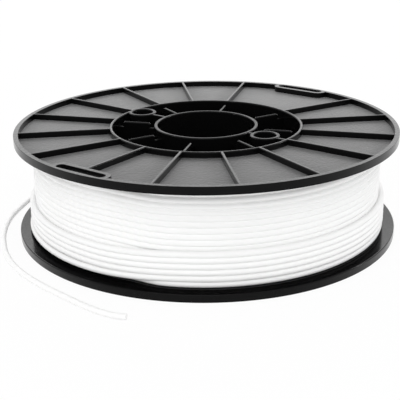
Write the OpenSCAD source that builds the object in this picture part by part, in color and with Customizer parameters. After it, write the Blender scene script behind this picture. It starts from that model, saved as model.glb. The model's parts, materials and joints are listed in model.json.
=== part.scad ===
// Filament reel, wound with one length of filament that has a loose end.
// Two ribbed flanges are fixed on the ends of a barrel. The barrel is carried
// on a bore tube by radial ribs, with two drive tubes between them.
// The reel lies on its lower flange. Its origin is the middle of that face.
// +Z is the reel's axis, and the upper flange's filament slots lie on the X axis.

/* [Flanges] */
// Outer diameter of both flanges
flange_d = 200; // [190:1:230]
// Width of the reel over both rims
reel_w = 55; // [45:1:70]
// Height of a flange's rim, ribs and rings
rim_h = 4; // [3.5:0.5:6]
// Radial thickness of the rim
rim_t = 2.5; // [2:0.1:4]
// Rounding of the rim's outer edges
rim_round = 0.5; // [0.2:0.1:0.9]
// Thickness of the disc between the ribs
web_t = 1; // [0.8:0.1:1.6]
// Rib positions round a flange. One stays empty on the upper flange
rib_count = 16; // [8:2:24]
// Thickness of a flange rib
rib_t = 1.5; // [1:0.1:2.5]

/* [Filament slots] */
// Length of the slot through the flange
slot_l = 29; // [20:0.5:36]
// Width of the slot
slot_w = 4.7; // [3.5:0.1:6]
// Wall of the boss round the slot
slot_wall = 2.5; // [1.5:0.1:4]

/* [Barrel] */
// Outer diameter of the barrel that the filament is wound on
barrel_d = 101.4; // [94:0.2:120]
// Wall of the barrel and of the hub ring
barrel_wall = 1.5; // [1.2:0.1:3]
// Length of the spigot at each end of the barrel
spigot_h = 2; // [1.2:0.1:3]
// Thickness of the spigot
spigot_t = 0.75; // [0.5:0.05:1]
// Clearance round and above the spigot
spigot_gap = 0.05; // [0.05:0.05:0.2]

/* [Bore and hub ribs] */
// Diameter of the bore for a machine's arbor
bore_d = 51; // [48:0.5:54]
// Wall of the bore tube
bore_wall = 1.8; // [1.4:0.1:3]
// Number of ribs between bore tube and barrel
hub_rib_count = 8; // [4:4:12]
// Thickness of a hub rib
hub_rib_t = 1.5; // [1:0.1:2.5]
// Depth of a hub rib's edge below the rim
hub_rib_recess = 1.2; // [0.5:0.1:2]
// Width of the low step at each end of a hub rib
hub_rib_step = 3.4; // [2:0.1:6]
// Rounding of a hub rib's upper and lower corners
hub_rib_round = 0.8; // [0.3:0.1:1.5]

/* [Drive tubes] */
// Diameter of a drive hole
drive_d = 11.4; // [9:0.1:12.5]
// Wall of a drive tube
drive_wall = 1.9; // [1.5:0.1:2.5]
// From the barrel's inner wall to the far drive tube's axis
far_tube_inset = 5.6; // [5:0.1:9]
// From the bore tube's outer wall to the near drive tube's axis
near_tube_offset = 9.6; // [9:0.1:11]
// Thickness of the stays that hold the drive tubes
stay_t = 1.5; // [1:0.1:2.5]
// Depth of a stay's edge below the rim
stay_recess = 0.4; // [0:0.1:2]

/* [Filament] */
// Diameter of the filament
filament_d = 2.85; // [2.6:0.05:3]
// Diameter over the full layers of the winding
wound_d = 181; // [140:0.2:182]
// Rise of the winding in one turn
turn_pitch = 2.95; // [2.95:0.05:3.5]
// Radial step from one layer to the next
layer_step = 3.3; // [3.3:0.1:3.8]
// Turns in the part-filled outermost layer
outer_turns = 6.6; // [4:0.1:8]
// Clearance between the winding and the reel
winding_gap = 0.3; // [0.1:0.1:0.6]

/* [Hidden] */
$fn = 96;
plastic = "#202022";
white = "#f2f2ef";
cut = 1;

flange_r = flange_d / 2;
barrel_r = barrel_d / 2;
hub_in_r = barrel_r - barrel_wall;
bore_r = bore_d / 2;
bore_out_r = bore_r + bore_wall;
drive_out_r = drive_d / 2 + drive_wall;
spigot_r = hub_in_r + spigot_t;
slot_x = flange_r - rim_t - slot_w / 2;
round_steps = 4;

// Points along an arc, from angle a0 to angle a1
function arc(x, y, r, a0, a1) = [
    for (i = [0 : round_steps])
        let (a = a0 + (a1 - a0) * i / round_steps)
            [x + r * cos(a), y + r * sin(a)]
];

// ---- Reel ----

module disc(r, h, z = 0) {
    translate([0, 0, z]) cylinder(h = h, r = r);
}

// Cuts a round hole of radius r through the whole reel
module through_hole(r) {
    translate([0, 0, -cut]) cylinder(h = reel_w + 2 * cut, r = r);
}

// A bar with round ends, its long side along Y
module stadium(length, width, h, z = 0) {
    reach = (length - width) / 2;
    translate([-width / 2, -reach, z]) cube([width, 2 * reach, h]);
    for (side = [-1, 1])
        translate([0, side * reach, z]) cylinder(h = h, r = width / 2);
}

module rim() {
    profile = concat(
        [[flange_r - rim_t, 0]],
        arc(flange_r - rim_round, rim_round, rim_round, -90, 0),
        arc(flange_r - rim_round, rim_h - rim_round, rim_round, 0, 90),
        [[flange_r - rim_t, rim_h]]
    );
    rotate_extrude() polygon(profile);
}

// Ribs at every position. A slotted flange leaves out the first, at a slot's boss
module flange_ribs(slotted) {
    start = barrel_r - barrel_wall / 2;
    for (i = [(slotted ? 1 : 0) : rib_count - 1])
        rotate([0, 0, i * 360 / rib_count])
            translate([start, -rib_t / 2, 0])
                cube([flange_r - rim_t / 2 - start, rib_t, rim_h]);
}

module slot_bosses() {
    intersection() {
        for (side = [-1, 1])
            translate([side * slot_x, 0, 0])
                stadium(slot_l + 2 * slot_wall, slot_w + 2 * slot_wall, rim_h);
        disc(flange_r - rim_t / 2, rim_h);
    }
}

// One flange, with its inner face at z = 0 and its ribbed face up
module flange(slotted) {
    difference() {
        union() {
            rim();
            disc(flange_r - rim_t / 2, web_t);
            disc(barrel_r, rim_h);
            flange_ribs(slotted);
            if (slotted) slot_bosses();
        }
        through_hole(hub_in_r);
        disc(spigot_r + spigot_gap, spigot_h + spigot_gap + cut, -cut);
        if (slotted)
            for (side = [-1, 1])
                translate([side * slot_x, 0, 0])
                    stadium(slot_l, slot_w, rim_h + 2 * cut, -cut);
    }
}

module upper_flange() {
    color(plastic) translate([0, 0, reel_w - rim_h]) flange(slotted = true);
}

module lower_flange() {
    color(plastic) translate([0, 0, rim_h]) rotate([180, 0, 0])
        flange(slotted = false);
}

// Barrel between the flanges, with a thin spigot into each hub ring
module core_barrel() {
    color(plastic) difference() {
        union() {
            disc(barrel_r, reel_w - 2 * rim_h, rim_h);
            disc(spigot_r, reel_w - 2 * rim_h + 2 * spigot_h, rim_h - spigot_h);
        }
        through_hole(hub_in_r);
    }
}

module bore_tube() {
    color(plastic) difference() {
        disc(bore_out_r, reel_w);
        through_hole(bore_r);
    }
}

// Keeps only what lies between the bore tube and the barrel
module between_walls() {
    difference() {
        intersection() {
            children();
            disc(hub_in_r, reel_w);
        }
        through_hole(bore_out_r);
    }
}

// Outline of a hub rib, radius along X and height along Y
module hub_rib_outline() {
    low = rim_h;
    in_x = bore_out_r + hub_rib_step;
    out_x = hub_in_r - hub_rib_step;
    r = hub_rib_round;
    polygon(concat(
        [[bore_r, low], [in_x, low]],
        arc(in_x + r, hub_rib_recess + r, r, 180, 270),
        arc(out_x - r, hub_rib_recess + r, r, 270, 360),
        [[out_x, low], [barrel_r, low], [barrel_r, reel_w - low], [out_x, reel_w - low]],
        arc(out_x - r, reel_w - hub_rib_recess - r, r, 0, 90),
        arc(in_x + r, reel_w - hub_rib_recess - r, r, 90, 180),
        [[in_x, reel_w - low], [bore_r, reel_w - low]]
    ));
}

// The ribs stand half a space away from the drive tubes' line
module hub_ribs() {
    color(plastic) between_walls()
        for (i = [0 : hub_rib_count - 1])
            rotate([90, 0, (i + 0.5) * 360 / hub_rib_count])
                linear_extrude(height = hub_rib_t, center = true)
                    hub_rib_outline();
}

// A tube at height y, held by a stay that runs from y_in to y_out
module drive_tube(y, y_in, y_out) {
    color(plastic) difference() {
        between_walls() {
            translate([0, y, 0]) cylinder(h = reel_w, r = drive_out_r);
            translate([-stay_t / 2, min(y_in, y_out), stay_recess])
                cube([stay_t, abs(y_out - y_in), reel_w - 2 * stay_recess]);
        }
        translate([0, y, 0]) through_hole(drive_d / 2);
    }
}

module far_drive_tube() {
    drive_tube(hub_in_r - far_tube_inset, bore_r, hub_in_r - far_tube_inset);
}

module near_drive_tube() {
    drive_tube(-bore_out_r - near_tube_offset, -bore_r, -barrel_r);
}

// ---- Winding ----

tube_r = filament_d / 2;
loop_rings = 24;
loop_sides = 6;
layer_r = wound_d / 2 - tube_r;
layer_z_gap = 0.05;
top_z = reel_w - rim_h - layer_z_gap - tube_r;
bottom_z = rim_h + layer_z_gap + tube_r;

// Angle at which the loose end leaves the winding
leave_a = 50;
end_z = bottom_z + turn_pitch * outer_turns;

// Under the outermost layer the turns run down with a coarse pitch, where
// nothing but the next layer sees them. Turn numbers count from the top.
cover_turns = 1.5;
coarse_pitch = 4.7;
climb_turns = 0.5;
hidden_z = end_z - cover_turns * turn_pitch;
hidden_turns = max(1, round((hidden_z - bottom_z) / coarse_pitch));
hidden_pitch = (hidden_z - bottom_z) / hidden_turns;
hidden_t = (top_z - hidden_z) / turn_pitch;
climb_t = hidden_t + hidden_turns;
rise_t = climb_t + climb_turns / 2;
end_t = rise_t + outer_turns;

function turn_z(t) =
    t < hidden_t ? top_z - turn_pitch * t :
    t < climb_t ? hidden_z - hidden_pitch * (t - hidden_t) :
    t < rise_t ? bottom_z :
    bottom_z + turn_pitch * (t - rise_t);

// The winding climbs one layer at the lower flange
function turn_r(t) =
    layer_r + layer_step * min(1, max(0, (t - climb_t) / climb_turns));
function turn_a(t) = leave_a - 360 * (end_t - t);
function outward(a) = [cos(a), sin(a), 0];
function forward(a) = [-sin(a), cos(a), 0];
function turn_point(t) = turn_r(t) * outward(turn_a(t)) + [0, 0, turn_z(t)];

// One ring of a tube, round its centre, in the plane of side and up
function ring_points(centre, side, up, sides) = [
    for (k = [0 : sides - 1])
        let (a = 360 * k / sides)
            centre + tube_r * (cos(a) * side + sin(a) * up)
];

// Closed tube through rings that all have the same number of points
module tube(rings) {
    sides = len(rings[0]);
    last = len(rings) - 1;
    polyhedron(
        points = [for (ring = rings) for (p = ring) p],
        faces = concat(
            [for (i = [0 : last - 1]) for (k = [0 : sides - 1])
                [i * sides + k, i * sides + (k + 1) % sides, (i + 1) * sides + k]],
            [for (i = [0 : last - 1]) for (k = [0 : sides - 1])
                [i * sides + (k + 1) % sides, (i + 1) * sides + (k + 1) % sides,
                    (i + 1) * sides + k]],
            [for (k = [1 : sides - 2]) [0, k + 1, k]],
            [for (k = [1 : sides - 2])
                [last * sides, last * sides + k, last * sides + k + 1]]
        )
    );
}

ring_total = floor(end_t * loop_rings);
turn_ts = [for (i = [ring_total : -1 : 0]) end_t - i / loop_rings];
start_a = turn_a(turn_ts[0]);

// Both ends run straight for one diameter past the last turned ring
winding_start = turn_point(turn_ts[0]) - filament_d * forward(start_a);
winding_end = turn_point(end_t) + filament_d * forward(leave_a);

// Least gap between two six-sided strands whose centres are dr and dz apart,
// from the widths of both across flats and across corners
function strand_gap(dr, dz) = max([
    for (a = [0 : 30 : 150])
        abs(dr * cos(a) + dz * sin(a)) - 2 * tube_r * (a % 60 == 0 ? 1 : cos(30))
]);
least_gap = min([
    for (i = [0 : ring_total - loop_rings])
        for (j = [i + loop_rings : loop_rings : ring_total])
            let (a = turn_ts[i], b = turn_ts[j])
                strand_gap(turn_r(b) - turn_r(a), turn_z(b) - turn_z(a))
]);

// Plain drum of the layers that lie under the outer turns. It stays inside the
// straight runs between the rings of a turn.
module filament_inner_layers() {
    color(white) difference() {
        disc((layer_r - tube_r) * cos(180 / loop_rings) - winding_gap,
            reel_w - 2 * rim_h - 2 * winding_gap, rim_h + winding_gap);
        through_hole(barrel_r + winding_gap);
    }
}

module filament_outer_turns() {
    up = [0, 0, 1];
    color(white) tube(concat(
        [ring_points(winding_start, outward(start_a), up, loop_sides)],
        [for (t = turn_ts) ring_points(turn_point(t), outward(turn_a(t)), up, loop_sides)],
        [ring_points(winding_end, outward(leave_a), up, loop_sides)]
    ));
}

// ---- Loose end ----

// Where the loose end runs: off the winding, down past the lower rim to the
// surface that the reel lies on, and round the reel there
end_route = [
    [48, 81.5, 24.5], [41, 87, 22.7], [33.5, 92, 19.7], [25.5, 97, 15.7],
    [17, 101.5, 11.4], [8.5, 105, 7.4], [-0.5, 107, 4.2], [-9.5, 107.5, 2.3],
    [-18.5, 106.8, 1.5], [-28, 104.5, 1.43], [-39, 100.5, 1.43],
    [-51, 95, 1.43], [-62.5, 88.5, 1.43], [-73, 80.5, 1.43], [-82.5, 71.5, 1.43],
    [-91, 61.5, 1.43], [-98.5, 51, 1.43], [-104.5, 39.5, 1.43], [-109, 27.5, 1.43],
    [-112, 15, 1.43], [-114, 2.5, 1.43], [-115.5, -10, 1.43], [-116.5, -20, 1.43],
    [-116.5, -28, 1.43], [-115.8, -34.5, 1.43], [-113.5, -40.5, 1.43]
];
end_sides = 8;
end_steps = 2;

straight_end = winding_end + filament_d * forward(leave_a);
controls = concat([winding_end, straight_end], end_route,
    [2 * end_route[len(end_route) - 1] - end_route[len(end_route) - 2]]);

// Point at u between controls i and i + 1, on a smooth curve through them all
function curve_point(i, u) =
    let (a = controls[i - 1], b = controls[i], c = controls[i + 1], d = controls[i + 2])
        0.5 * (2 * b + (c - a) * u + (2 * a - 5 * b + 4 * c - d) * u * u
            + (3 * b - a - 3 * c + d) * u * u * u);

end_points = concat(
    [winding_end],
    [for (i = [1 : len(controls) - 3]) for (k = [0 : end_steps - 1])
        curve_point(i, k / end_steps)],
    [end_route[len(end_route) - 1]]
);
end_last = len(end_points) - 1;
free_length = sum_length(end_points, end_last);

function sum_length(points, last) =
    last == 0 ? 0 : norm(points[last] - points[last - 1]) + sum_length(points, last - 1);
function heading(i) = i == 0 ? forward(leave_a) :
    let (d = end_points[min(i + 1, end_last)] - end_points[i - 1]) d / norm(d);

module filament_free_end() {
    color(white) tube([
        for (i = [0 : end_last])
            let (
                ahead = heading(i),
                flat = cross(ahead, [0, 0, 1]),
                side = flat / norm(flat),
                up = cross(side, ahead)
            )
                ring_points(end_points[i], side, up, end_sides)
    ]);
}

echo(winding_turns = end_t, least_gap = least_gap);
echo(free_end_length = free_length, free_end_rings = end_last + 1);

upper_flange();
lower_flange();
core_barrel();
bore_tube();
hub_ribs();
far_drive_tube();
near_drive_tube();
filament_inner_layers();
filament_outer_turns();
filament_free_end();
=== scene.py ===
"""A filament reel that lies on a pale floor, with the loose end of its winding beside it."""

import json
import math

import bpy
from bpy.props import FloatProperty, FloatVectorProperty, IntProperty, PointerProperty
from mathutils import Matrix, Vector


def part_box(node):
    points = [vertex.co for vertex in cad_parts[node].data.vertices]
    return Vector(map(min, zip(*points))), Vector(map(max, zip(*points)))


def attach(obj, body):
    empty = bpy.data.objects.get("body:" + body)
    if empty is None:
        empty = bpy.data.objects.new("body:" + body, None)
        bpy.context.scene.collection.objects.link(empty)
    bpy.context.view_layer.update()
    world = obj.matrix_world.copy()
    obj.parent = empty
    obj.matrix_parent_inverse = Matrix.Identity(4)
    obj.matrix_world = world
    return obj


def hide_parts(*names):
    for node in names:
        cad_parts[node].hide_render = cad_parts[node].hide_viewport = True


bl_info = {
    "name": "Filament Reel",
    "version": (1, 0, 0),
    "blender": (4, 5, 0),
    "location": "View3D > Sidebar > Reel",
    "description": "Builds a ribbed reel, its wound filament and a stage round a fixed frame",
    "category": "Add Mesh",
}

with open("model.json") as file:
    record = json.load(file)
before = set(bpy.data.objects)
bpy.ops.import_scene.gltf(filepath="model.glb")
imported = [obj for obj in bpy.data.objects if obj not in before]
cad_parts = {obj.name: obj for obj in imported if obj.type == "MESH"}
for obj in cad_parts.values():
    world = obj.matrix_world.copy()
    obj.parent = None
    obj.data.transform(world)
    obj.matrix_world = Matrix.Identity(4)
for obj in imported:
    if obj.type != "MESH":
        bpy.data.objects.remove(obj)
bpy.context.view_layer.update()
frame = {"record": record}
MOUNTS = {mount["name"]: mount for mount in frame["record"]["mounts"]}
BODY = "root"
MM = 0.001
PLAY = 0.05 * MM  # Play between pieces that fit together
SUNK = 0.3 * MM  # How far a piece reaches into the one that carries it
SHARP_ANGLE = 0.6  # Edges sharper than this look sharp, in radians
STRAND_SHARP_ANGLE = 0.9
QUARTER = [math.radians(22.5 * i) for i in range(5)]  # Angles of a quarter turn


# ---- Sizes and colours ----


def length(name, description, default):
    """A length property, in metres."""
    return FloatProperty(
        name=name, description=description, default=default, min=0.0, unit="LENGTH", precision=5
    )


def number_of(name, description, default, low, high):
    """A whole number property."""
    return IntProperty(name=name, description=description, default=default, min=low, max=high)


def share(name, description, default, low=0.0, high=1.0):
    """A plain number property."""
    return FloatProperty(name=name, description=description, default=default, min=low, max=high)


def power(name, description, default):
    """A lamp's power, in watts."""
    return FloatProperty(name=name, description=description, default=default, unit="POWER")


def colour(name, description, default):
    """A colour property."""
    return FloatVectorProperty(
        name=name, description=description, default=default, size=3, min=0.0, max=1.0,
        subtype="COLOR",
    )


class ReelSizes(bpy.types.PropertyGroup):
    """Sizes of the black reel."""

    flange_radius: length(
        "Flange radius", "Outer radius of both flanges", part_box("upper_flange")[1].x
    )
    width: length("Width", "Width over both rims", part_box("upper_flange")[1].z)
    rim_height: length("Rim height", "Height of rim, ribs and rings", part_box("lower_flange")[1].z)
    rim_thickness: length("Rim thickness", "Radial thickness of the rim", 2.5 * MM)
    rim_round: length("Rim rounding", "Rounding of the rim's edge on the ribbed side", 0.2 * MM)
    upper_round: length("Upper rounding", "Rounding of the upper rim's lower edge", 0.12 * MM)
    lower_round: length("Lower rounding", "Rounding of the lower rim's upper edge", 0.6 * MM)
    web: length("Disc thickness", "Thickness of the disc between the ribs", 1.0 * MM)
    rib: length("Rib thickness", "Thickness of a flange rib", 1.5 * MM)
    rib_positions: number_of("Rib positions", "Positions of ribs round a flange", 16, 4, 32)
    edge: length("Edge rounding", "Rounding of moulded edges", 0.25 * MM)
    rib_edge: length("Rib rounding", "Rounding of a rib's top edges", 0.5 * MM)
    ring_edge: length("Ring rounding", "Rounding of the ends of ring and tubes", 0.7 * MM)
    slot_length: length("Slot length", "Length of a filament slot", 29.0 * MM)
    slot_width: length("Slot width", "Width of a filament slot", 4.7 * MM)
    slot_wall: length("Slot wall", "Wall of the boss round a slot", 2.5 * MM)
    barrel_radius: length("Barrel radius", "Outer radius of the barrel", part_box("core_barrel")[1].x)
    barrel_wall: length("Barrel wall", "Wall of barrel and hub ring", 1.5 * MM)
    spigot: length("Spigot thickness", "Thickness of the barrel's spigot", 0.75 * MM)
    spigot_height: length("Spigot length", "How far the spigot enters a flange", 2.0 * MM)
    bore_radius: length(
        "Bore radius", "Radius of the bore", MOUNTS["arbor_bore"]["dims"]["r_mm"] * MM
    )
    bore_outer: length(
        "Bore tube radius", "Outer radius of the bore tube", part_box("bore_tube")[1].x
    )
    hub_rib: length("Hub rib thickness", "Thickness of a hub rib", 1.5 * MM)
    hub_ribs: number_of("Hub ribs", "Number of ribs in the hub", 8, 4, 16)
    hub_rib_recess: length("Hub rib recess", "Depth of a hub rib below the rim", 1.2 * MM)
    hub_rib_step: length("Hub rib step", "Width of the low step at a rib's ends", 3.4 * MM)
    hub_rib_round: length("Hub rib rounding", "Rounding of a hub rib's corners", 1.4 * MM)
    drive_radius: length(
        "Drive hole radius", "Radius of a drive hole", MOUNTS["far_drive_hole"]["dims"]["r_mm"] * MM
    )
    drive_wall: length("Drive tube wall", "Wall of a drive tube", 1.9 * MM)
    stay: length("Stay thickness", "Thickness of a drive tube's stay", 1.5 * MM)
    stay_recess: length("Stay recess", "Depth of a stay below the rim", 0.4 * MM)

    @property
    def hub_radius(self):
        """Inner radius of barrel and hub ring."""
        return self.barrel_radius - self.barrel_wall


class FilamentSizes(bpy.types.PropertyGroup):
    """Sizes of the wound filament and its loose end."""

    diameter: length("Diameter", "Diameter of the filament", 2.85 * MM)
    pressed_diameter: length(
        "Pressed diameter", "Diameter where turns are pressed together", 3.35 * MM
    )
    full_radius: length("Full radius", "Outer radius of the full layers", 90.9 * MM)
    layer_step: length("Layer step", "Radial step to the part-filled layer", 2.9 * MM)
    bulge: length("Bulge", "How far the lowest outer turn is pressed outwards", 0.8 * MM)
    full_turns: number_of("Full turns", "Turns of the outermost full layer", 15, 4, 24)
    outer_turns: number_of("Outer turns", "Whole turns of the part-filled layer", 5, 1, 12)
    leave_angle: FloatProperty(
        name="Leaving angle", description="Where the loose end leaves the winding",
        default=math.radians(50.0), unit="ROTATION",
    )
    end_height: length("End height", "Height at which the loose end leaves", 24.945 * MM)


class Finishes(bpy.types.PropertyGroup):
    """Colours and finishes."""

    reel: colour("Reel", "Colour of the reel's plastic", (0.003, 0.003, 0.0031))
    polish_roughness: share("Polish roughness", "Roughness of the polished walls", 0.16)
    grained_roughness: share("Grained roughness", "Roughness of the grained faces", 0.5)
    haze: share("Grain haze", "How pale the grained faces look from a low angle", 1.0)
    filament: colour("Filament", "Colour of the filament", (0.965, 0.965, 0.962))
    filament_roughness: share("Filament roughness", "Roughness of the filament", 0.42)
    floor: colour("Floor", "Colour of the floor", (0.9, 0.9, 0.9))


class StageLook(bpy.types.PropertyGroup):
    """Camera and light."""

    focal: FloatProperty(
        name="Focal length", description="Focal length in millimetres", default=83.476, min=10
    )
    sky: share("Sky", "Strength of the even light from all sides", 0.85, 0.0, 5.0)
    key: power("Key", "Power of the key lamp", 3.4)
    left: power("Left", "Power of the left lamp", 0.5)
    right: power("Right", "Power of the right lamp", 1.0)
    rear: power("Rear", "Power of the rear lamp", 4.0)
    shadow: share("Shadow", "How much of the floor's own shading shows", 0.06)


# ---- Meshes ----


def mesh_from(name, verts, faces):
    """A mesh of the given points and faces."""
    mesh = bpy.data.meshes.new(name)
    mesh.from_pydata([tuple(v) for v in verts], [], faces)
    mesh.update()
    return mesh


def turned(name, profile, segments=256):
    """A ring turned about Z from an outline of (radius, height), counter-clockwise."""
    count = len(profile)
    verts = []
    for i in range(segments):
        a = math.tau * i / segments
        verts += [(r * math.cos(a), r * math.sin(a), z) for r, z in profile]
    faces = [
        (
            i * count + j,
            (i + 1) % segments * count + j,
            (i + 1) % segments * count + (j + 1) % count,
            i * count + (j + 1) % count,
        )
        for i in range(segments)
        for j in range(count)
    ]
    return mesh_from(name, verts, faces)


def arc(x, y, r, start, end, steps=4):
    """Points of an arc, from angle start to angle end in degrees."""
    angles = [math.radians(start + (end - start) * i / steps) for i in range(steps + 1)]
    return [(x + r * math.cos(a), y + r * math.sin(a)) for a in angles]


def circle(r, count):
    """Outline of a circle, through a number of points."""
    return arc(0, 0, r, 0, 360 * (count - 1) / count, count - 1)


def drawn_in(outline, distance):
    """The outline, counter-clockwise, moved inwards by a distance."""
    count = len(outline)
    result = []
    for i in range(count):
        before, here, after = (Vector(outline[(i + k) % count]) for k in (-1, 0, 1))
        a, b = (here - before).normalized(), (after - here).normalized()
        na, nb = Vector((a.y, -a.x)), Vector((b.y, -b.x))
        result.append(here - (na + nb) * distance / (1 + na.dot(nb)))
    return result


def stacked(name, outline, steps, turn=None):
    """A closed solid through copies of an outline, each drawn in and set at a height.

    The matrix turn, if given, then moves it."""
    count = len(outline)
    verts = [Vector((p.x, p.y, z)) for inset, z in steps for p in drawn_in(outline, inset)]
    faces = [tuple(reversed(range(count)))]
    for level in range(len(steps) - 1):
        low, high = level * count, (level + 1) * count
        faces += [
            (low + i, low + (i + 1) % count, high + (i + 1) % count, high + i) for i in range(count)
        ]
    faces.append(tuple(range((len(steps) - 1) * count, len(steps) * count)))
    if turn:
        verts = [turn @ v for v in verts]
    return mesh_from(name, verts, faces)


def rounded_steps(low, high, r, at_low=True, steps=3):
    """Insets and heights of a solid with rounded upper edges, and at will lower ones."""
    quarter = [math.radians(90 * i / steps) for i in range(steps + 1)]
    bottom = [(r * (1 - math.sin(a)), low + r * (1 - math.cos(a))) for a in quarter]
    top = [(r * (1 - math.cos(a)), high - r * (1 - math.sin(a))) for a in quarter]
    return (bottom if at_low else [(0, low)]) + top


def stadium(span, width, steps=10):
    """Outline of a bar with round ends, its long side along Y."""
    reach, r = (span - width) / 2, width / 2
    return arc(0, reach, r, 0, 180, steps) + arc(0, -reach, r, 180, 360, steps)


def bar(x0, x1, y0, y1):
    """Outline of a rectangle."""
    return [(x0, y0), (x1, y0), (x1, y1), (x0, y1)]


# ---- Node trees ----


class Net:
    """Adds nodes to a tree and links them."""

    def __init__(self, tree):
        self.tree = tree

    def add(self, kind, inputs=None, **settings):
        """A node with its settings and its inputs."""
        node = self.tree.nodes.new(kind)
        for key, value in settings.items():
            setattr(node, key, value)
        self.feed(node, inputs or {})
        return node

    def made(self, kind, inputs=None, **settings):
        """The first output of a new node."""
        return self.add(kind, inputs, **settings).outputs[0]

    def feed(self, node, inputs):
        """Gives a node its inputs, each a value or the sockets that feed it."""
        for key, value in inputs.items():
            for item in value if isinstance(value, list) else [value]:
                if isinstance(item, bpy.types.NodeSocket):
                    self.tree.links.new(item, node.inputs[key])
                else:
                    node.inputs[key].default_value = item

    def math(self, operation, a, b=0.0):
        """The result of a sum on one or two values."""
        return self.made("ShaderNodeMath", {0: a, 1: b}, operation=operation)


def new_tree(name, kind, inputs, outputs):
    """A node group with named inputs and outputs, and its input and output nodes."""
    tree = bpy.data.node_groups.new(name, kind)
    for label, socket, *default in inputs:
        item = tree.interface.new_socket(name=label, in_out="INPUT", socket_type=socket)
        if default:
            item.default_value = default[0]
    for label, socket in outputs:
        tree.interface.new_socket(name=label, in_out="OUTPUT", socket_type=socket)
    net = Net(tree)
    return net, net.add("NodeGroupInput").outputs, net.add("NodeGroupOutput")


GEOMETRY, NUMBER, WHOLE = "NodeSocketGeometry", "NodeSocketFloat", "NodeSocketInt"
OBJECT, MATERIAL = "NodeSocketObject", "NodeSocketMaterial"
PLAIN_FINISH = [("Sharp angle", NUMBER, SHARP_ANGLE), ("Material", MATERIAL)]
GRAINED_FINISH = PLAIN_FINISH + [("Grained material", MATERIAL)]


def geometry_tree(name, inputs):
    """A geometry node group that gives one geometry."""
    return new_tree(name, "GeometryNodeTree", inputs, [("Geometry", GEOMETRY)])


def stored(net, geometry, name, value, domain="POINT"):
    """The geometry with a value kept under a name."""
    return net.made(
        "GeometryNodeStoreNamedAttribute",
        {"Geometry": geometry, "Name": name, "Value": value}, data_type="FLOAT", domain=domain,
    )


def recalled(net, name):
    """The value kept under a name."""
    return net.made("GeometryNodeInputNamedAttribute", {"Name": name}, data_type="FLOAT")


def round_pattern_tree():
    """Copies of a piece, evenly round the Z axis."""
    net, given, out = geometry_tree("Round pattern", [
        ("Piece", GEOMETRY), ("Positions", WHOLE, 8), ("Left empty", WHOLE, 0),
        ("First angle", NUMBER, 0.0),
    ])
    points = net.made("GeometryNodePoints", {"Count": given["Positions"]})
    index = net.made("GeometryNodeInputIndex")
    step = net.math("DIVIDE", math.tau, given["Positions"])
    angle = net.math("ADD", net.math("MULTIPLY", index, step), given["First angle"])
    turn = net.made("ShaderNodeCombineXYZ", {"Z": angle})
    wanted = net.made(
        "FunctionNodeCompare", {2: index, 3: given["Left empty"]},
        data_type="INT", operation="GREATER_EQUAL",
    )
    copies = net.made(
        "GeometryNodeInstanceOnPoints",
        {"Points": points, "Selection": wanted, "Instance": given["Piece"], "Rotation": turn},
    )
    solid = net.made("GeometryNodeRealizeInstances", {"Geometry": copies})
    net.feed(out, {0: solid})
    return net.tree


def add_finish(net, geometry, given, out, grained=None):
    """Ends a tree: edges sharper than the given angle stay sharp, and the material is set.

    Faces that the grained selection names get the grained material."""
    angle = net.made("GeometryNodeInputMeshEdgeAngle")
    sharp = net.add(
        "FunctionNodeCompare", {0: angle, 1: given["Sharp angle"]}, operation="GREATER_THAN"
    )
    smooth = net.made("GeometryNodeSetShadeSmooth", {"Geometry": geometry, "Shade Smooth": True})
    edges = net.add(
        "GeometryNodeSetShadeSmooth",
        {"Geometry": smooth, "Selection": sharp.outputs[0], "Shade Smooth": False},
        domain="EDGE",
    )
    solid = net.made("GeometryNodeRealizeInstances", {"Geometry": edges.outputs[0]})
    finish = net.made(
        "GeometryNodeSetMaterial", {"Geometry": solid, "Material": given["Material"]}
    )
    if grained:
        finish = net.made(
            "GeometryNodeSetMaterial",
            {"Geometry": finish, "Selection": grained, "Material": given["Grained material"]},
        )
    net.feed(out, {0: finish})


def pattern_of(net, pattern, piece, positions, empty=0, first_angle=0.0):
    """What the round pattern group makes of a piece."""
    return net.made(
        "GeometryNodeGroup",
        {"Piece": piece, "Positions": positions, "Left empty": empty, "First angle": first_angle},
        node_tree=pattern,
    )


def cut_and_joined(net, operation, first, others):
    """Joins or intersects solids, or takes the others from the first."""
    if operation == "DIFFERENCE":
        inputs = {"Mesh 2": others, "Mesh 1": first}
    else:
        inputs = {"Mesh 2": [first] + others}
    return net.made("GeometryNodeMeshBoolean", inputs, operation=operation, solver="MANIFOLD")


# Upward parts of a normal, above which a flange's face and a hub rib's corner are grained.
FACES_UP, CORNER_TILT = 0.75, 0.25


def shape_of(net, source):
    """The mesh of an object that a tree is given."""
    return net.add("GeometryNodeObjectInfo", {"Object": source}).outputs["Geometry"]


def facing(net):
    """The three parts of the surface's normal."""
    normal = net.add("GeometryNodeInputNormal").outputs["Normal"]
    return net.add("ShaderNodeSeparateXYZ", {0: normal}).outputs


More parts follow.
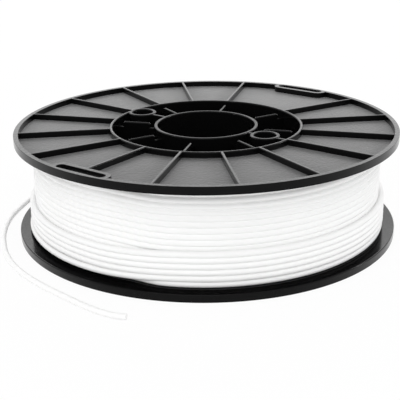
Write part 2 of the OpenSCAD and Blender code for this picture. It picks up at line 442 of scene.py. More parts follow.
def flange_tree(pattern):
    """A turned disc with ribs, and where it has bosses, those too and their slots."""
    net, given, out = geometry_tree("Ribbed flange", [
        ("Disc", GEOMETRY), ("Rib", OBJECT), ("Rib positions", WHOLE, 16),
        ("Positions left empty", WHOLE, 1), ("Boss", OBJECT), ("Bosses", WHOLE, 2),
        ("Boss limit", OBJECT), ("Slot", OBJECT), *GRAINED_FINISH,
    ])
    rib, boss, limit, slot = (
        shape_of(net, given[key]) for key in ("Rib", "Boss", "Boss limit", "Slot")
    )
    ribs = pattern_of(net, pattern, rib, given["Rib positions"], given["Positions left empty"])
    bosses = pattern_of(net, pattern, boss, given["Bosses"])
    slots = pattern_of(net, pattern, slot, given["Bosses"])
    inside = cut_and_joined(net, "INTERSECT", bosses, [limit])
    joined = cut_and_joined(net, "UNION", given["Disc"], [ribs, inside])
    cut = cut_and_joined(net, "DIFFERENCE", joined, [slots])
    plain = cut_and_joined(net, "UNION", given["Disc"], [ribs])
    chosen = net.made(
        "GeometryNodeSwitch",
        {"Switch": net.math("GREATER_THAN", given["Bosses"], 0.5), "False": plain, "True": cut},
        input_type="GEOMETRY",
    )
    grained = net.math("GREATER_THAN", facing(net)["Z"], FACES_UP)
    add_finish(net, chosen, given, out, grained)
    return net.tree


def hub_ribs_tree(pattern):
    """Separate ribs round the hub."""
    net, given, out = geometry_tree("Hub ribs", [
        ("Rib", GEOMETRY), ("Ribs", WHOLE, 8), ("First angle", NUMBER, 0.0), *GRAINED_FINISH,
    ])
    normal = facing(net)
    along = net.math("ABSOLUTE", normal["X"])
    corner = net.math(
        "MULTIPLY", net.math("GREATER_THAN", along, CORNER_TILT),
        net.math("GREATER_THAN", normal["Z"], CORNER_TILT),
    )
    marked = stored(net, given["Rib"], "corner", corner, "FACE")
    ribs = pattern_of(net, pattern, marked, given["Ribs"], first_angle=given["First angle"])
    add_finish(net, ribs, given, out,
               grained=net.math("GREATER_THAN", recalled(net, "corner"), 0.5))
    return net.tree


def stayed_tube_tree():
    """A tube with a flat stay through it, bored out again."""
    net, given, out = geometry_tree("Stayed tube", [
        ("Tube", GEOMETRY), ("Stay", OBJECT), ("Bore", OBJECT),
        ("Welding distance", NUMBER, 0.002 * MM), *PLAIN_FINISH,
    ])
    stay, bore = (shape_of(net, given[key]) for key in ("Stay", "Bore"))
    joined = cut_and_joined(net, "UNION", given["Tube"], [stay])
    cut = cut_and_joined(net, "DIFFERENCE", joined, [bore])
    welded = net.made(
        "GeometryNodeMergeByDistance", {"Geometry": cut, "Distance": given["Welding distance"]}
    )
    add_finish(net, welded, given, out)
    return net.tree


def strand_tree():
    """A round strand along a line, with places along and around it kept for the material."""
    net, given, out = geometry_tree("Strand", [
        ("Line", GEOMETRY), ("Diameter", NUMBER, 2.85 * MM), ("Sides", WHOLE, 14),
        *PLAIN_FINISH,
    ])
    curve = net.made("GeometryNodeMeshToCurve", {"Mesh": given["Line"]})
    where = net.add("GeometryNodeSplineParameter")
    marked = stored(net, curve, "along", where.outputs["Length"])
    section = net.made(
        "GeometryNodeCurvePrimitiveCircle",
        {"Resolution": given["Sides"], "Radius": net.math("DIVIDE", given["Diameter"], 2.0)},
    )
    around = net.add("GeometryNodeSplineParameter")
    ring = stored(net, section, "around", around.outputs["Factor"])
    tube = net.made(
        "GeometryNodeCurveToMesh",
        {"Curve": marked, "Profile Curve": ring, "Scale": recalled(net, "girth"),
         "Fill Caps": True},
    )
    add_finish(net, tube, given, out)
    return net.tree


def placed(name, data):
    """An object in the scene that shows a mesh, a lamp or a camera."""
    obj = bpy.data.objects.new(name, data)
    bpy.context.scene.collection.objects.link(obj)
    return obj


def finished(name, source, even_normals=True):
    """A plain mesh piece from a source object's result. The source goes."""
    if even_normals:
        source.modifiers.new("Even normals", "WEIGHTED_NORMAL").keep_sharp = True
    bpy.context.view_layer.update()
    evaluated = source.evaluated_get(bpy.context.evaluated_depsgraph_get())
    mesh = bpy.data.meshes.new_from_object(evaluated)
    bpy.data.objects.remove(source)
    if not mesh.polygons:
        raise RuntimeError(f"{name} came out empty")
    mesh.name = name
    return placed(name, mesh)


def grown(name, source, tree, values, even_normals=True):
    """A piece from a node tree's result on a source mesh."""
    obj = placed(name + "_source", source)
    modifier = obj.modifiers.new("Build", "NODES")
    modifier.node_group = tree
    for item in tree.interface.items_tree:
        if item.in_out == "INPUT" and item.name in values:
            modifier[item.identifier] = values[item.name]
    return finished(name, obj, even_normals)


def settle(piece, node):
    """Puts a finished piece on the reel's body, in the place of its fixed node."""
    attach(piece, BODY)
    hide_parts(node)


def plain_piece(name, mesh, material):
    """A piece from a mesh that needs no node tree, smooth but for its sharp edges."""
    mesh.materials.append(material)
    mesh.shade_smooth()
    mesh.set_sharp_from_angle(angle=SHARP_ANGLE)
    return finished(name, placed(name + "_source", mesh))


# ---- Materials ----

GRAIN_SIZE = 0.45 * MM
BUMP_DEPTH = 0.05 * MM
# The share of a common plastic's mirror reflection that the reel keeps, and the distance
# from which the filament is painted black in glossy reflections, a painted dark reflection.
MIRROR_SHARE = 0.18
MIRROR_REACH = 1.5 * MM


def noise(net, place, scale, detail, roughness=0.5):
    """A noise value at a place."""
    return net.add(
        "ShaderNodeTexNoise",
        {"Vector": place, "Scale": scale, "Detail": detail, "Roughness": roughness},
    ).outputs["Fac"]


def mixed(net, factor, first, second):
    """A colour between two, each a colour or the socket that feeds it."""
    return net.add(
        "ShaderNodeMix", {"Factor": factor, "A": first, "B": second}, data_type="RGBA"
    ).outputs["Result"]


def bumped(net, height, strength):
    """The normal of a surface with a height on it."""
    return net.made(
        "ShaderNodeBump", {"Height": height, "Strength": strength, "Distance": BUMP_DEPTH}
    )


def scaled(rgb, factor):
    """A colour made darker or lighter, with its alpha."""
    return (*(c * factor for c in rgb), 1.0)


def grain_group():
    """Moulded grain: a height, a roughness that varies, and masks of scuffs and blotches."""
    net, given, out = new_tree(
        "Moulded grain", "ShaderNodeTree",
        [("Grain size", NUMBER, 0.0004), ("Waviness", NUMBER, 7.0), ("Roughness", NUMBER, 0.3),
         ("Spread", NUMBER, 0.1), ("Scuff roughness", NUMBER, 0.06)],
        [("Height", NUMBER), ("Roughness", NUMBER), ("Scuffs", NUMBER), ("Mottle", NUMBER)],
    )
    place = net.add("ShaderNodeTexCoord").outputs["Object"]
    fine = noise(net, place, scale=net.math("DIVIDE", 1.0, given["Grain size"]), detail=2.0,
                 roughness=0.6)
    broad = noise(net, place, scale=60.0, detail=3.0, roughness=0.55)
    mottle = noise(net, place, scale=560.0, detail=3.0, roughness=0.7)
    streak_place = net.made("ShaderNodeMapping", {"Vector": place, "Scale": (90.0, 900.0, 400.0)})
    streaks = noise(net, streak_place, scale=1.0, detail=2.0)
    scuffs = net.made(
        "ShaderNodeMapRange",
        {"Value": streaks, "From Min": 0.64, "From Max": 0.8, "To Min": 0.0, "To Max": 1.0},
    )
    spread = net.math("MULTIPLY", net.math("SUBTRACT", broad, 0.5), given["Spread"])
    rough = net.math(
        "ADD", net.math("ADD", given["Roughness"], spread),
        net.math("MULTIPLY", scuffs, given["Scuff roughness"]),
    )
    height = net.math("ADD", fine, net.math("MULTIPLY", mottle, given["Waviness"]))
    net.feed(out, {"Height": height, "Roughness": rough, "Scuffs": scuffs, "Mottle": mottle})
    return net.tree


def drawn_group():
    """Marks along an extruded strand: a height, a tone and a roughness that varies."""
    net, given, out = new_tree(
        "Drawn strand", "ShaderNodeTree",
        [("Roughness", NUMBER, 0.4), ("Spread", NUMBER, 0.2), ("Line length", NUMBER, 18.0),
         ("Tone length", NUMBER, 9.0)],
        [("Height", NUMBER), ("Tone", NUMBER), ("Roughness", NUMBER)],
    )
    along = net.add("ShaderNodeAttribute", attribute_name="along").outputs["Fac"]
    around = net.add("ShaderNodeAttribute", attribute_name="around").outputs["Fac"]
    turn = net.math("MULTIPLY", around, math.tau)
    place = net.made(
        "ShaderNodeCombineXYZ",
        {"X": net.math("MULTIPLY", along, given["Line length"]),
         "Y": net.math("COSINE", turn), "Z": net.math("SINE", turn)},
    )
    lines = noise(net, place, scale=2.4, detail=3.0, roughness=0.6)
    slow_place = net.made(
        "ShaderNodeCombineXYZ", {"X": net.math("MULTIPLY", along, given["Tone length"])}
    )
    slow = noise(net, slow_place, scale=1.0, detail=2.0)
    spread = net.math("MULTIPLY", net.math("SUBTRACT", lines, 0.5), given["Spread"])
    rough = net.math("ADD", given["Roughness"], spread)
    net.feed(out, {"Height": lines, "Tone": slow, "Roughness": rough})
    return net.tree


def new_material(name):
    """A node material, its nodes and its Principled shader."""
    material = bpy.data.materials.new(name)
    material.use_nodes = True
    nodes = material.node_tree.nodes
    return material, Net(material.node_tree), nodes["Principled BSDF"]


def reel_material(name, finishes, grain, roughness, relief, tones, haze=0.0):
    """Black moulded plastic: polished, or grained with a pale haze at low angles.

    Its tones are factors of the reel's colour, for the darkest and the lightest blotches."""
    material, net, shader = new_material(name)
    marks = net.add(
        "ShaderNodeGroup",
        {"Grain size": GRAIN_SIZE, "Roughness": roughness, "Spread": 0.3 * roughness},
        node_tree=grain,
    ).outputs
    dark, light = (scaled(finishes.reel, tone) for tone in tones)
    mottled = mixed(net, marks["Mottle"], dark, light)
    net.feed(shader, {
        "Base Color": mixed(net, marks["Scuffs"], mottled, light),
        "Roughness": marks["Roughness"],
        "Normal": bumped(net, marks["Height"], relief),
        "IOR": 1.5,
        "Specular Tint": (MIRROR_SHARE, MIRROR_SHARE, MIRROR_SHARE, 1.0),
        "Sheen Weight": haze,
        "Sheen Roughness": 0.35,
    })
    return material


def filament_material(name, finishes, drawn):
    """White extruded plastic, with a painted dark reflection: black on glossy rays past MIRROR_REACH.
    """
    material, net, shader = new_material(name)
    marks = net.add(
        "ShaderNodeGroup", {"Roughness": finishes.filament_roughness}, node_tree=drawn
    ).outputs
    tint = mixed(
        net, marks["Tone"], scaled(finishes.filament, 1.0), scaled(finishes.filament, 0.985)
    )
    rays = net.add("ShaderNodeLightPath").outputs
    # Painted dark reflection: on glossy rays past MIRROR_REACH the filament's colour is black.
    far = net.math("GREATER_THAN", rays["Ray Length"], MIRROR_REACH)
    painted_dark_reflection = net.math("MULTIPLY", rays["Is Glossy Ray"], far)
    net.feed(shader, {
        "Base Color": mixed(net, painted_dark_reflection, tint, (0, 0, 0, 1)),
        "Roughness": marks["Roughness"],
        "Normal": bumped(net, marks["Height"], 0.12),
        "Specular IOR Level": 0.2,
    })
    return material


def seen_directly(net):
    """1 on rays from the camera and on glossy and transmitted rays, and 0 on others."""
    rays = net.add("ShaderNodeLightPath").outputs
    seen = net.math("MAXIMUM", rays["Is Camera Ray"], rays["Is Glossy Ray"])
    return net.math("MAXIMUM", seen, rays["Is Transmission Ray"])


def tree_named(name, make, *parts):
    """The node group of that name, made on first use."""
    return bpy.data.node_groups.get(name) or make(*parts)


def material_named(name, make, *values, **settings):
    """The material of that name, made on first use."""
    return bpy.data.materials.get(name) or make(name, *values, **settings)


def grained_plastic(scene):
    """The plastic of the flanges' outer faces."""
    finishes = scene.finishes
    return material_named(
        "grained_plastic", reel_material, finishes, tree_named("Moulded grain", grain_group),
        finishes.grained_roughness, relief=0.5, tones=(0.4, 3.0), haze=finishes.haze,
    )


def polished_plastic(scene):
    """The plastic of the reel's walls and inner faces."""
    finishes = scene.finishes
    return material_named(
        "polished_plastic", reel_material, finishes, tree_named("Moulded grain", grain_group),
        finishes.polish_roughness, relief=0.08, tones=(0.8, 1.4),
    )


def reel_finish(scene):
    """What the trees of the reel's pieces are given for their looks."""
    return {
        "Sharp angle": SHARP_ANGLE, "Material": polished_plastic(scene),
        "Grained material": grained_plastic(scene),
    }


def white_filament(scene):
    """The filament's plastic."""
    return material_named("white_filament", filament_material, scene.finishes,
                          tree_named("Drawn strand", drawn_group))


# ---- Filament route ----

# Where the loose end runs: off the winding, down past the lower rim to the floor,
# and round the reel there. In millimetres.
END_ROUTE = [
    (48, 81.5, 24.5), (41, 87, 22.7), (33.5, 92, 19.7), (25.5, 97, 15.7),
    (17, 101.5, 11.4), (8.5, 105, 7.4), (-0.5, 107, 4.2), (-9.5, 107.5, 2.3),
    (-18.5, 106.8, 1.5), (-28, 104.5, 1.43), (-39, 100.5, 1.43),
    (-51, 95, 1.43), (-62.5, 88.5, 1.43), (-73, 80.5, 1.43), (-82.5, 71.5, 1.43),
    (-91, 61.5, 1.43), (-98.5, 51, 1.43), (-104.5, 39.5, 1.43), (-109, 27.5, 1.43),
    (-112, 15, 1.43), (-114, 2.5, 1.43), (-115.5, -10, 1.43), (-116.5, -20, 1.43),
    (-116.5, -28, 1.43), (-115.8, -34.5, 1.43), (-113.5, -40.5, 1.43),
]

# A turn keeps its height for most of the way round, and crosses to the next groove in
# two short stretches, half a pitch in each, on opposite sides. Places are in turns from
# CROSSING.
CROSSING = math.radians(187.0)
FALL_START, FALL_SPAN = 0.0, 0.05
RISE_START, RISE_SPAN = -0.015, 0.09
STEP_START, STEP_SPAN = 0.015, 0.035
FIRST_TURN, FIRST_SPAN = -0.6, 0.08
# The part-filled layer's first turn is pressed out over a stretch of its way, and down
# by a share of that.
BULGE_START, BULGE_END, BULGE_SPAN, BULGE_DROP = 0.6, 1.0, 0.12, 0.6
LIFT_SPAN = 0.25
LEAVE_SPAN = 0.1


def eased(t):
    """Smooth from 0 to 1."""
    t = min(max(t, 0.0), 1.0)
    return t * t * (3 - 2 * t)


def crossings(x, first, count, start, span):
    """How many of a run of half crossings lie behind x, counting the one under way in part."""
    return sum(eased((x - first - k / 2 - start) / span) for k in range(count))


def winding_points(reel, filament, per_turn=120):
    """Centre line of the outer turns: down the full layer, out and up again.

    With it come its girths, as factors of the diameter, and the direction it leaves in."""
    r = filament.diameter / 2
    pressed = filament.pressed_diameter / filament.diameter - 1
    top = reel.width - reel.rim_height - PLAY - r
    bottom = reel.rim_height + PLAY + r
    half_pitch = (top - bottom) / filament.full_turns / 2
    layer_radius = filament.full_radius - r
    out_at = filament.full_turns
    last = out_at + filament.outer_turns + (
        (filament.leave_angle - CROSSING) % math.tau) / math.tau

    def height(x):
        down = crossings(x, 0, 2 * filament.full_turns, FALL_START, FALL_SPAN)
        up = crossings(x, out_at + 0.5, 2 * filament.outer_turns + 1, RISE_START, RISE_SPAN)
        return top + half_pitch * (up - down)

    lift = filament.end_height - height(last)
    steps = round((last - FIRST_TURN) * per_turn)
    points, girths = [], []
    for i in range(steps + 1):
        x = FIRST_TURN + (last - FIRST_TURN) * i / steps
        leaving = eased((x - last + LEAVE_SPAN) / LEAVE_SPAN)
        radius = layer_radius + filament.layer_step * eased((x - out_at - STEP_START) / STEP_SPAN)
        pushed = filament.bulge * (
            eased((x - out_at - BULGE_START) / BULGE_SPAN)
            - eased((x - out_at - BULGE_END + BULGE_SPAN / 2) / BULGE_SPAN))
        radius += pushed
        radius -= filament.diameter * (1 - eased((x - FIRST_TURN) / FIRST_SPAN))
        a = CROSSING + math.tau * x
        z = height(x)
        inside = eased(min(top - z, z - bottom) / half_pitch / 2)
        z += BULGE_DROP * -pushed + lift * eased((x - last + LIFT_SPAN) / LIFT_SPAN)
        points.append(Vector((radius * math.cos(a), radius * math.sin(a), z)))
        girths.append(1 + pressed * inside * (1 - leaving))
    ahead = Vector((-math.sin(filament.leave_angle), math.cos(filament.leave_angle), 0.0))
    points.append(points[-1] + filament.diameter * ahead)
    return points, girths + [1.0], ahead


def loose_end_points(reel, filament, steps=6):
    """Centre line of the loose end, from where it leaves the winding."""
    winding, _, ahead = winding_points(reel, filament, 24)
    start = winding[-1]
    route = [start, start + filament.diameter * ahead] + [Vector(p) * MM for p in END_ROUTE]
    route.append(2 * route[-1] - route[-2])
    points = [start]
    for i in range(1, len(route) - 2):
        a, b, c, d = route[i - 1 : i + 3]
        for k in range(steps):
            u = k / steps
            points.append(0.5 * (
                2 * b + (c - a) * u + (2 * a - 5 * b + 4 * c - d) * u * u
                + (3 * b - a - 3 * c + d) * u * u * u))
    return points + [route[-2]]


def line_mesh(name, points, girths=None):
    """A mesh of one open line, with the strand's girth at each point."""
    mesh = bpy.data.meshes.new(name)
    mesh.from_pydata([tuple(p) for p in points], [(i, i + 1) for i in range(len(points) - 1)], [])
    girth = mesh.attributes.new("girth", "FLOAT", "POINT")
    girth.data.foreach_set("value", girths or [1.0] * len(points))
    return mesh


def strand(name, scene, line, sides):
    """A piece of filament along a line."""
    return grown(
        name, line, tree_named("Strand", strand_tree),
        {"Diameter": scene.filament_sizes.diameter, "Sides": sides,
         "Sharp angle": STRAND_SHARP_ANGLE, "Material": white_filament(scene)},
        even_normals=False,
    )


# ---- Operators ----

CAMERA_PLACE = (-0.37904, -0.28116, 0.18637)
CAMERA_TURN = (69.7363, 0.6735, -53.2321)
FLOOR_LEVEL, FLOOR_REACH = -0.00002, 4.0
LAMP_AIM = Vector((0, 0, 0.03))
# The place, width and height of each lamp.
LAMPS = {
    "key": ((-0.98, -0.44, 0.85), 1.2, 0.4),
    "left": ((-0.8, 0.6, 0.35), 0.1, 0.1),
    "right": ((0.68, -0.73, 0.35), 0.1, 0.1),
    "rear": ((0.85, 0.63, 0.75), 1.5, 0.5),
}
WHITE = (1, 1, 1, 1)


class Step:
    """What all operators share: each builds its part of the scene."""

    def execute(self, context):
        self.build(context.scene)
        return {"FINISHED"}


class REEL_OT_stage(Step, bpy.types.Operator):
    """Make the camera, the floor, the lamps and the white surroundings"""

    bl_idname = "reel.stage"
    bl_label = "Stage"

    def build(self, scene):
        look = scene.stage_look
        self.camera(scene, look)
        self.floor(scene.finishes, look)
        self.sky(scene, look)
        for name, (place, width, height) in LAMPS.items():
            self.lamp(name + "_lamp", place, width, height, getattr(look, name))
        scene.view_settings.view_transform = "Standard"

    def camera(self, scene, look):
        data = bpy.data.cameras.new("camera")
        data.lens = look.focal
        data.sensor_width = 36.0
        data.clip_start, data.clip_end = 0.01, 50.0
        camera = placed("camera", data)
        camera.location = CAMERA_PLACE
        camera.rotation_euler = [math.radians(a) for a in CAMERA_TURN]
        scene.camera = camera

    def floor(self, finishes, look):
        square = bar(-FLOOR_REACH, FLOOR_REACH, -FLOOR_REACH, FLOOR_REACH)
        mesh = mesh_from("floor", [(x, y, FLOOR_LEVEL) for x, y in square], [(0, 1, 2, 3)])
        material, net, shader = new_material("pale_floor")
        net.feed(shader, {
            "Base Color": scaled(finishes.floor, 1.0), "Roughness": 0.9, "Specular IOR Level": 0.0,
        })
        white = net.made("ShaderNodeEmission", {"Color": WHITE, "Strength": 1.0})
        share_of_white = net.math("MULTIPLY", seen_directly(net), 1.0 - look.shadow)
        both = net.made("ShaderNodeMixShader", {0: share_of_white, 1: shader.outputs[0], 2: white})
        net.feed(net.tree.nodes["Material Output"], {"Surface": both})
        mesh.materials.append(material)
        placed("floor", mesh)

    def sky(self, scene, look):
        world = scene.world or bpy.data.worlds.new("surroundings")
        scene.world = world
        world.use_nodes = True
        world.node_tree.nodes.clear()
        net = Net(world.node_tree)
        light = net.made("ShaderNodeBackground", {"Color": WHITE, "Strength": look.sky})
        white = net.made("ShaderNodeBackground", {"Color": WHITE, "Strength": 1.0})
        both = net.made("ShaderNodeMixShader", {0: seen_directly(net), 1: light, 2: white})
        net.add("ShaderNodeOutputWorld", {"Surface": both})

    def lamp(self, name, place, width, height, watts):
        data = bpy.data.lights.new(name, "AREA")
        data.shape = "RECTANGLE"
        data.size, data.size_y = width, height
        data.energy = watts
        lamp = placed(name, data)
        lamp.location = place
        aim = LAMP_AIM - lamp.location
        lamp.rotation_euler = aim.to_track_quat("-Z", "Y").to_euler()
        lamp.visible_camera = False


class REEL_OT_loose_end(Step, bpy.types.Operator):
    """Make the filament's loose end"""

    bl_idname = "reel.loose_end"
    bl_label = "Loose end"

    def build(self, scene):
        filament = scene.filament_sizes
        points = loose_end_points(scene.reel_sizes, filament)
        piece = strand("filament_loose_end", scene, line_mesh("loose_end_line", points), sides=24)
        settle(piece, "filament_free_end")


class REEL_OT_winding(Step, bpy.types.Operator):
    """Make the outer turns of the filament"""

    bl_idname = "reel.winding"
    bl_label = "Outer turns"

    def build(self, scene):
        points, girths, _ = winding_points(scene.reel_sizes, scene.filament_sizes)
        line = line_mesh("winding_line", points, girths)
        piece = strand("filament_winding", scene, line, sides=16)
        settle(piece, "filament_outer_turns")


DRUM_PLAY = 0.3 * MM  # Play of the drum to the flanges and the barrel
DRUM_DEPTH = 0.1 * MM  # How far its rows lie inside the turns that cover them
# A row's outline: its steps, how round it is, how far it is sunk as a share of its radius,
# and where it ends as a share of its width, so that two rows share no point.
ROW_STEPS, ROW_ROUND, ROW_SUNK, ROW_END = 6, 0.9, 0.1, 0.999


class REEL_OT_inner_layers(Step, bpy.types.Operator):
    """Make the grooved drum of the layers under the outer turns"""

    bl_idname = "reel.inner_layers"
    bl_label = "Inner layers"

    def build(self, scene):
        reel, filament = scene.reel_sizes, scene.filament_sizes
        r = filament.diameter / 2
        low, high = reel.rim_height + DRUM_PLAY, reel.width - reel.rim_height - DRUM_PLAY
        rows = filament.full_turns + 1
        pitch = (high - low) / rows
        half = pitch / 2
        outer = filament.full_radius - filament.diameter - DRUM_DEPTH - r
        inner = reel.barrel_radius + DRUM_PLAY
        profile = [(inner, low)]
        for row in range(rows):
            middle = low + pitch * (row + 0.5)
            for i in range(ROW_STEPS + 1):
                t = -1 + 2 * i / ROW_STEPS
                profile.append((outer + r * (math.sqrt(1 - t * t * ROW_ROUND) - ROW_SUNK),
                                middle + half * t * (1 if abs(t) < 1 else ROW_END)))
        profile.append((inner, high))
        piece = plain_piece(
            "filament_inner_drum", turned("inner_drum", profile, 192), white_filament(scene)
        )
        settle(piece, "filament_inner_layers")


class REEL_OT_flanges(Step, bpy.types.Operator):
    """Make the two ribbed flanges"""

    bl_idname = "reel.flanges"
    bl_label = "Flanges"

    def build(self, scene):
        size = scene.reel_sizes
        parts = self.parts(size)
        tree = tree_named("Ribbed flange", flange_tree,
                          tree_named("Round pattern", round_pattern_tree))
        places = {
            "upper_flange": Matrix.Translation((0, 0, size.width - size.rim_height)),
            "lower_flange": Matrix.Translation((0, 0, size.rim_height))
            @ Matrix.Rotation(math.pi, 4, "X"),
        }
        inner_rounds = {"upper_flange": size.upper_round, "lower_flange": size.lower_round}
        # A boss takes the place of the first rib. Only the upper flange has bosses and slots.
        bosses = {"upper_flange": 2, "lower_flange": 0}
        for node, place in places.items():
            piece = grown(
                node.replace("_", "_moulded_"), self.disc(size, inner_rounds[node]), tree,
                {"Rib": parts["rib"], "Rib positions": size.rib_positions,
                 "Positions left empty": bosses[node] // 2, "Boss": parts["boss"],
                 "Bosses": bosses[node], "Boss limit": parts["limit"], "Slot": parts["slot"],
                 **reel_finish(scene)},
            )
            piece.data.transform(place)
            settle(piece, node)
        for part in parts.values():
            bpy.data.objects.remove(part)

    def disc(self, size, inner_round):
        """The turned disc with its rim and hub ring, inner face at height 0."""
        top, web, edge = size.rim_height, size.web, size.edge
        rim_in = size.flange_radius - size.rim_thickness
        groove = size.hub_radius + size.spigot + PLAY
        groove_top = size.spigot_height + PLAY
        outer, rim_round = size.flange_radius, size.rim_round
        fillet = 0.35 * MM
        profile = [(groove, 0.0)]
        profile += arc(outer - inner_round, inner_round, inner_round, -90, 0, 5)
        profile += arc(outer - rim_round, top - rim_round, rim_round, 0, 90, 5)
        profile += arc(rim_in + edge, top - edge, edge, 90, 180)
        profile += arc(rim_in - fillet, web + fillet, fillet, 270, 360)[::-1]
        profile += arc(size.barrel_radius + fillet, web + fillet, fillet, 180, 270)[::-1]
        ring = size.ring_edge
        profile += arc(size.barrel_radius - ring, top - ring, ring, 0, 90)
        profile += arc(size.hub_radius + ring, top - ring, ring, 90, 180)
        profile += [(size.hub_radius, groove_top), (groove, groove_top)]
        return turned("flange_disc", profile, 288)

    def parts(self, size):
        """The rib, the boss, its limit and the slot that the node tree copies."""
        top, edge = size.rim_height, size.edge
        sunk = size.web * 0.5
        mid_rim = size.flange_radius - size.rim_thickness / 2
        mid_hub = size.barrel_radius - size.barrel_wall / 2
        slot_x = size.flange_radius - size.rim_thickness - size.slot_width / 2
        flare = [(-edge * (1 - math.cos(a)), top - edge * (1 - math.sin(a))) for a in QUARTER]
        rib = stacked(
            "rib", bar(mid_hub, mid_rim, -size.rib / 2, size.rib / 2),
            rounded_steps(sunk, top, size.rib_edge, at_low=False),
        )
        boss = stacked(
            "boss", stadium(size.slot_length + 2 * size.slot_wall,
                            size.slot_width + 2 * size.slot_wall),
            rounded_steps(sunk, top, edge, at_low=False),
        )
        slot = stacked(
            "slot", stadium(size.slot_length, size.slot_width),
            [(0.0, -1 * MM)] + flare + [(-edge, top + 1 * MM)],
        )
        for mesh in (boss, slot):
            mesh.transform(Matrix.Translation((slot_x, 0, 0)))
        limit = stacked("limit", circle(mid_rim, 288), [(0, 0.0), (0, 2 * top)])
        meshes = {"rib": rib, "boss": boss, "limit": limit, "slot": slot}
        return {name: placed(name + "_shape", mesh) for name, mesh in meshes.items()}


class REEL_OT_core(Step, bpy.types.Operator):
    """Make the barrel and the bore tube"""

    bl_idname = "reel.core"
    bl_label = "Barrel and bore tube"

    def build(self, scene):
        size = scene.reel_sizes
        material = polished_plastic(scene)
        spigot = size.hub_radius + size.spigot
        low, high = size.rim_height, size.width - size.rim_height
        barrel = [
            (size.hub_radius, low - size.spigot_height), (spigot, low - size.spigot_height),
            (spigot, low), (size.barrel_radius, low), (size.barrel_radius, high),
            (spigot, high), (spigot, high + size.spigot_height),
            (size.hub_radius, high + size.spigot_height),
        ]
        piece = plain_piece("barrel", turned("barrel", barrel), material)
        settle(piece, "core_barrel")
        edge = size.ring_edge
        inner, outer, top = size.bore_radius, size.bore_outer, size.width
        tube = arc(outer - edge, edge, edge, 270, 360) + arc(outer - edge, top - edge, edge, 0, 90)
        tube += arc(inner + edge, top - edge, edge, 90, 180)
        tube += arc(inner + edge, edge, edge, 180, 270)
        piece = plain_piece("bore_sleeve", turned("bore_sleeve", tube, 192), material)
        settle(piece, "bore_tube")


RIB_FLAT = 0.05 * MM  # Half the flat between the two roundings of a hub rib's edge


class REEL_OT_hub_ribs(Step, bpy.types.Operator):
    """Make the ribs between bore tube and barrel"""

    bl_idname = "reel.hub_ribs"
    bl_label = "Hub ribs"

    def build(self, scene):
        size = scene.reel_sizes
        rib = stacked(
            "hub_rib", self.outline(size),
            rounded_steps(-size.hub_rib / 2, size.hub_rib / 2, size.hub_rib / 2 - RIB_FLAT),
            Matrix.Rotation(math.pi / 2, 4, "X"),
        )
        piece = grown(
            "hub_spokes", rib,
            tree_named("Hub ribs", hub_ribs_tree, tree_named("Round pattern", round_pattern_tree)),
            {"Ribs": size.hub_ribs, "First angle": math.pi / size.hub_ribs, **reel_finish(scene)},
        )
        settle(piece, "hub_ribs")

    def outline(self, size):
        """A rib's outline in radius and height, counter-clockwise."""
        x0, x3 = size.bore_outer - SUNK, size.hub_radius + SUNK
        x1, x2 = size.bore_outer + size.hub_rib_step, x3 - SUNK - size.hub_rib_step
        low, high = size.rim_height, size.width - size.rim_height
        r = size.hub_rib_round
        base, top = size.hub_rib_recess + r, size.width - size.hub_rib_recess - r
        return (
            [(x0, low), (x1, low)] + arc(x1 + r, base, r, 180, 270)
            + arc(x2 - r, base, r, 270, 360) + [(x2, low), (x3, low), (x3, high), (x2, high)]
            + arc(x2 - r, top, r, 0, 90) + arc(x1 + r, top, r, 90, 180) + [(x1, high), (x0, high)]
        )


BORING = 0.5 * MM  # What boring out takes from the wall of a drive tube
PAST_END = 0.01 * MM  # How far the cutter's flare reaches past the tube's end


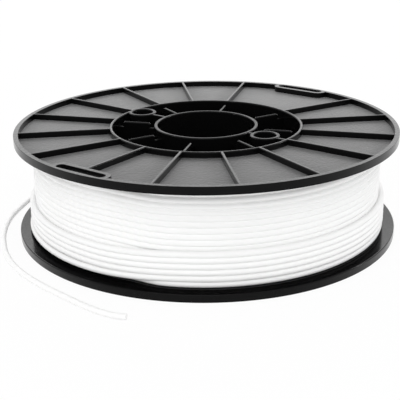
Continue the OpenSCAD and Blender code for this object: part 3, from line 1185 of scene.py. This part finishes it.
class REEL_OT_drive_tubes(Step, bpy.types.Operator):
    """Make the two drive tubes with their stays"""

    bl_idname = "reel.drive_tubes"
    bl_label = "Drive tubes"

    def build(self, scene):
        size = scene.reel_sizes
        # Where each stay begins and ends. The far tube has one on the bore's side only.
        stays = {
            "far_drive": (size.bore_outer - SUNK, MOUNTS["far_drive_hole"]["pos_m"][1]),
            "near_drive": (-size.hub_radius - SUNK, -size.bore_outer + SUNK),
        }
        for name, (low, high) in stays.items():
            axis = MOUNTS[name + "_hole"]["pos_m"][1]
            stay = placed("stay_shape", stacked(
                "stay", bar(-size.stay / 2, size.stay / 2, low - axis, high - axis),
                rounded_steps(size.stay_recess, size.width - size.stay_recess, size.edge),
            ))
            bore = placed("bore_shape", self.bore(size))
            piece = grown(
                name + "_sleeve", self.tube(size), tree_named("Stayed tube", stayed_tube_tree),
                {"Stay": stay, "Bore": bore, "Welding distance": 0.002 * MM, **reel_finish(scene)},
            )
            piece.data.transform(Matrix.Translation((0, axis, 0)))
            settle(piece, name + "_tube")
            for obj in (stay, bore):
                bpy.data.objects.remove(obj)

    def tube(self, size):
        """The round tube about its own axis, its hole still too narrow by BORING."""
        inner, outer = size.drive_radius - BORING, size.drive_radius + size.drive_wall
        edge, top = size.ring_edge, size.width
        profile = [(inner, 0.0)] + arc(outer - edge, edge, edge, 270, 360)
        profile += arc(outer - edge, top - edge, edge, 0, 90) + [(inner, top)]
        return turned("tube", profile, 96)

    def bore(self, size):
        """The cutter of a drive hole, flared at both ends."""
        edge, top = size.ring_edge, size.width
        low = [(-edge * (1 - math.cos(a)), edge * (1 - math.sin(a)) - PAST_END) for a in QUARTER]
        high = [(inset, top - z) for inset, z in low]
        steps = [(-edge, -1 * MM)] + low[::-1] + high + [(-edge, top + 1 * MM)]
        return stacked("bore", circle(size.drive_radius, 96), steps)


class REEL_PT_panel(bpy.types.Panel):
    """Lists the pieces of the reel"""

    bl_label = "Filament reel"
    bl_idname = "REEL_PT_panel"
    bl_space_type = "VIEW_3D"
    bl_region_type = "UI"
    bl_category = "Reel"

    def draw(self, context):
        for operator in OPERATORS:
            self.layout.operator(operator.bl_idname)
        for group in ("reel_sizes", "filament_sizes", "finishes", "stage_look"):
            owner = getattr(context.scene, group)
            box = self.layout.box()
            for key in owner.bl_rna.properties.keys():
                if key not in ("rna_type", "name"):
                    box.prop(owner, key)


GROUPS = {
    "reel_sizes": ReelSizes, "filament_sizes": FilamentSizes,
    "finishes": Finishes, "stage_look": StageLook,
}
OPERATORS = (
    REEL_OT_stage, REEL_OT_loose_end, REEL_OT_winding, REEL_OT_inner_layers, REEL_OT_flanges,
    REEL_OT_core, REEL_OT_hub_ribs, REEL_OT_drive_tubes,
)
CLASSES = (*GROUPS.values(), *OPERATORS, REEL_PT_panel)


def register():
    for cls in CLASSES:
        bpy.utils.register_class(cls)
    for name, group in GROUPS.items():
        setattr(bpy.types.Scene, name, PointerProperty(type=group))


def unregister():
    for name in GROUPS:
        delattr(bpy.types.Scene, name)
    for cls in reversed(CLASSES):
        bpy.utils.unregister_class(cls)


def main():
    register()
    for operator in OPERATORS:
        getattr(bpy.ops.reel, operator.bl_idname.removeprefix("reel."))()


if __name__ == "__main__":
    main()
